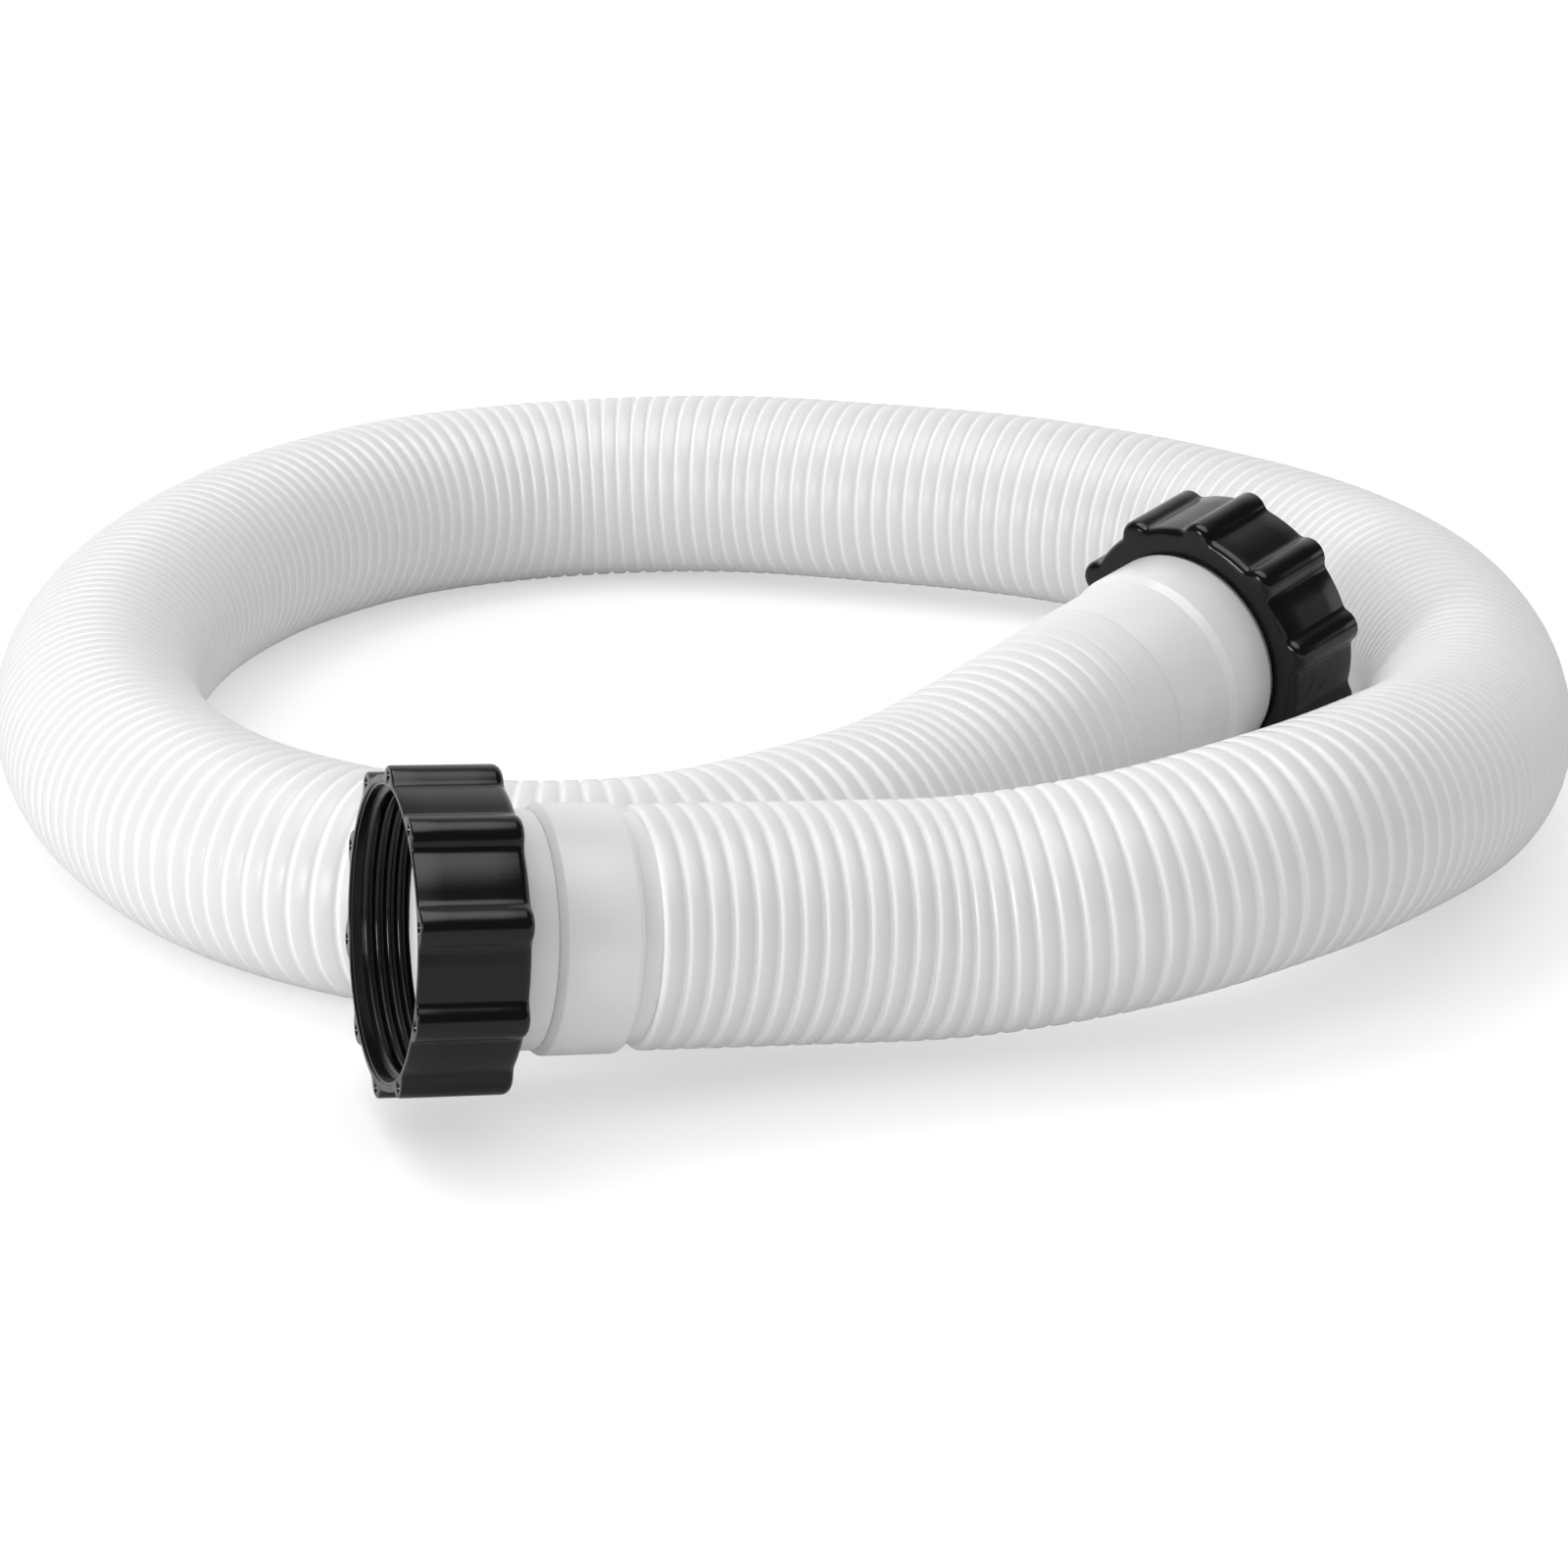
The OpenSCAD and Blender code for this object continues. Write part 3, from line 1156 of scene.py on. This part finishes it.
    def _stand(self) -> Matrix:
        """Returns where the nut stands: slid and turned on the end's axis."""
        lift = Matrix.Translation((0, 0, self.rear_z))
        return self.place @ lift @ Matrix.Rotation(math.radians(self.turn_deg), 4, "Z")

    def build(self) -> list[bpy.types.Object]:
        """Builds and dresses the nut's body and its thread.

        Returns:
            The two pieces.
        """
        bm = bmesh.new()
        self._shell(bm)
        shell = finish_mesh(bm, f"{self.end.value}_nut_shell", self._stand(), self.shell_sharp_deg)
        self._drill(shell)
        bm = bmesh.new()
        self._thread(bm)
        thread = finish_mesh(bm, f"{self.end.value}_nut_thread", self._stand(), self.thread_sharp_deg)
        black = MOULDED_BLACK.build()
        for piece in (shell, thread):
            dress(piece, black, self.body, f"{self.end.value}_union_nut")
        return [shell, thread]


@dataclass(frozen=True)
class EndLayout:
    """How one end is put together: its tailpiece's length, and how far its nut is slid and turned."""

    end: End
    body: Body
    tail_len: float
    slide: float
    turn_deg: float
    stop_gap: float = 0.3

    def build(self, line: Centreline) -> list[bpy.types.Object]:
        """Builds the end's fittings and nut.

        Args:
            line: the hose's centreline.

        Returns:
            The end's pieces.
        """
        place = line.fitting_frame(self.end)
        fitting = Fitting(self.end, place, has_neck=self.end is End.OUTER, tail_len=self.tail_len)
        rear_z = fitting.flange_rear - self.stop_gap - UnionNut.rear_wall - self.slide
        nut = UnionNut(self.end, place, rear_z, self.turn_deg, self.body)
        return fitting.build() + nut.build()


OUTER_END = EndLayout(End.OUTER, Body.OUTER_NUT, tail_len=14.0, slide=3.4, turn_deg=3.5)
INNER_END = EndLayout(End.INNER, Body.INNER_NUT, tail_len=17.0, slide=0.0, turn_deg=9.0)


# ---- Camera, light and floor ----


@dataclass(frozen=True)
class View:
    """The camera: its place in millimetres, its tilt below the horizon, its lens and its shift."""

    place: tuple[float, float, float] = (-0.3, -1037.7, 353.6)
    tilt_deg: float = 19.978
    focal_px: float = 4554.05
    axis_px: tuple[float, float] = (795.4, 913.1)
    image_px: float = 1600.0
    sensor_mm: float = 36.0
    clip_m: tuple[float, float] = (0.05, 50.0)

    def build(self) -> None:
        """Makes the camera and lets the scene look through it."""
        data = bpy.data.cameras.new("camera")
        data.sensor_width = self.sensor_mm
        data.sensor_fit = "HORIZONTAL"
        data.lens = self.focal_px / self.image_px * self.sensor_mm
        data.shift_x = (self.image_px / 2 - self.axis_px[0]) / self.image_px
        data.shift_y = (self.axis_px[1] - self.image_px / 2) / self.image_px
        data.clip_start, data.clip_end = self.clip_m
        camera = bpy.data.objects.new("camera", data)
        camera.location = Vector(self.place) * MM
        camera.rotation_euler = (math.radians(90 - self.tilt_deg), 0, 0)
        bpy.context.scene.collection.objects.link(camera)
        bpy.context.scene.camera = camera


@dataclass(frozen=True)
class Lamp:
    """A soft square lamp that looks at the object. Its place and its size are in metres."""

    name: str
    place: tuple[float, float, float]
    size: float
    watts: float
    aim: tuple[float, float, float] = (0.0, 0.0, 0.03)

    def build(self) -> None:
        """Makes the lamp."""
        data = bpy.data.lights.new(self.name, "AREA")
        data.shape = "SQUARE"
        data.size = self.size
        data.energy = self.watts
        lamp = bpy.data.objects.new(self.name, data)
        lamp.location = self.place
        ahead = Vector(self.aim) - Vector(self.place)
        lamp.rotation_euler = ahead.to_track_quat("-Z", "Y").to_euler()
        bpy.context.scene.collection.objects.link(lamp)


@dataclass(frozen=True)
class Glow:
    """A light of the room that grows smoothly towards one side of it."""

    towards: tuple[float, float, float]
    cosines: tuple[float, float]
    strengths: tuple[float, float]

    def build(self, tree: bpy.types.NodeTree) -> bpy.types.NodeSocket:
        """Makes the light's nodes.

        Args:
            tree: the world's node tree.

        Returns:
            The socket with the strength.
        """
        where = tree.nodes.new("ShaderNodeTexCoord")
        cosine = tree.nodes.new("ShaderNodeVectorMath")
        cosine.operation = "DOT_PRODUCT"
        cosine.inputs[1].default_value = Vector(self.towards).normalized()
        tree.links.new(where.outputs["Generated"], cosine.inputs[0])
        slope = tree.nodes.new("ShaderNodeMapRange")
        slope.interpolation_type = "SMOOTHSTEP"
        slope.inputs["From Min"].default_value, slope.inputs["From Max"].default_value = self.cosines
        slope.inputs["To Min"].default_value, slope.inputs["To Max"].default_value = self.strengths
        tree.links.new(cosine.outputs["Value"], slope.inputs["Value"])
        return slope.outputs["Result"]


@dataclass(frozen=True)
class Studio:
    """A pale floor, a bright room, and a soft lamp overhead and one at each side.

    Surfaces are lit by the sky, which is brightest at the left, and mirror the backdrop and the
    ceiling. The floor's lift makes it white where it is seen, and its shares say how much of that
    lift reaches mirroring surfaces and matt ones.
    """

    floor_size_m: float = 6.0
    floor_colour: float = 0.68
    floor_roughness: float = 0.9
    floor_lift: float = 0.44
    mirror_share: float = 0.05
    bounce_share: float = 0.36
    sky: Glow = Glow((-0.8, 0.38, 0.36), (-0.8, 0.5), (0.47, 0.91))
    backdrop: Glow = Glow((0.0, 1.0, 0.0), (0.3, 0.8), (0.06, 1.0))
    ceiling: Glow = Glow((0.0, -0.15, 1.0), (0.78, 0.97), (0.0, 3.2))
    lamps: tuple[Lamp, ...] = (
        Lamp("top_lamp", (-0.4, 0.05, 1.3), 0.6, 2.6),
        Lamp("left_lamp", (-1.0, -0.9, 0.32), 0.35, 5.2),
        Lamp("right_lamp", (1.35, 0.25, 0.35), 0.35, 0.5),
    )

    @staticmethod
    def _choose(
        tree: bpy.types.NodeTree, factor: bpy.types.NodeSocket, low: bpy.types.NodeSocket
    ) -> bpy.types.ShaderNodeMix:
        """Makes a choice between two strengths.

        Args:
            tree: the world's node tree.
            factor: the socket that is 0 for the low strength and 1 for the other.
            low: the socket with the low strength.

        Returns:
            The Mix node, whose socket B is 1 and may be given another strength.
        """
        mix = tree.nodes.new("ShaderNodeMix")
        mix.inputs["B"].default_value = 1.0
        tree.links.new(factor, mix.inputs["Factor"])
        tree.links.new(low, mix.inputs["A"])
        return mix

    def _room(self) -> None:
        """Makes the world: white where it is seen, the sky as a light, and a white back in mirrors."""
        world = bpy.data.worlds.new("room")
        world.use_nodes = True
        # Sampled as a lamp, the sky would show in mirroring surfaces in place of the backdrop
        world.cycles.sampling_method = "NONE"
        bpy.context.scene.world = world
        tree = world.node_tree
        shade = tree.nodes["Background"]
        shade.inputs["Color"].default_value = WHITE
        mirrored = joined(tree, Join.LARGER, self.backdrop.build(tree), self.ceiling.build(tree))
        path = tree.nodes.new("ShaderNodeLightPath")
        lit = self._choose(tree, path.outputs["Is Glossy Ray"], self.sky.build(tree))
        tree.links.new(mirrored, lit.inputs["B"])
        strength = self._choose(tree, seen(tree), lit.outputs["Result"])
        tree.links.new(strength.outputs["Result"], shade.inputs["Strength"])

    def _floor(self) -> None:
        """Makes the floor, which keeps the object's shadow."""
        bm = bmesh.new()
        bmesh.ops.create_grid(bm, x_segments=1, y_segments=1, size=self.floor_size_m / 2 / MM)
        floor = finish_mesh(bm, "floor", Matrix.Identity(4), sharp_deg=30)
        material = bpy.data.materials.new("pale_floor")
        material.use_nodes = True
        tree = material.node_tree
        shader = tree.nodes["Principled BSDF"]
        shader.inputs["Base Color"].default_value = (self.floor_colour,) * 3 + (1,)
        shader.inputs["Roughness"].default_value = self.floor_roughness
        shader.inputs["Specular IOR Level"].default_value = 0.0
        shader.inputs["Emission Color"].default_value = WHITE
        path = tree.nodes.new("ShaderNodeLightPath")
        share = seen(tree)
        for ray, part in (("Is Glossy Ray", self.mirror_share), ("Is Diffuse Ray", self.bounce_share)):
            share = joined(tree, Join.LARGER, joined(tree, Join.PRODUCT, path.outputs[ray], part), share)
        lift = joined(tree, Join.PRODUCT, share, self.floor_lift)
        tree.links.new(lift, shader.inputs["Emission Strength"])
        floor.data.materials.append(material)

    def build(self) -> None:
        """Makes the room, the floor and the lamps."""
        bpy.context.scene.view_settings.view_transform = "Standard"
        self._room()
        self._floor()
        for lamp in self.lamps:
            lamp.build()


# ---- The whole object ----


def main() -> None:
    """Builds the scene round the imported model."""
    logging.basicConfig(level=logging.INFO, format="%(name)s: %(message)s")
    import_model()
    View().build()
    line = Centreline()
    hose = RibbedHose(line)
    skin = hose.build()
    dress(skin, RIBBED_WHITE.build(), Body.HOSE, "ribbed_hose")
    OUTER_END.build(line)
    hose.declare(INNER_END.build(line))
    Studio().build()


if __name__ == "__main__":
    main()
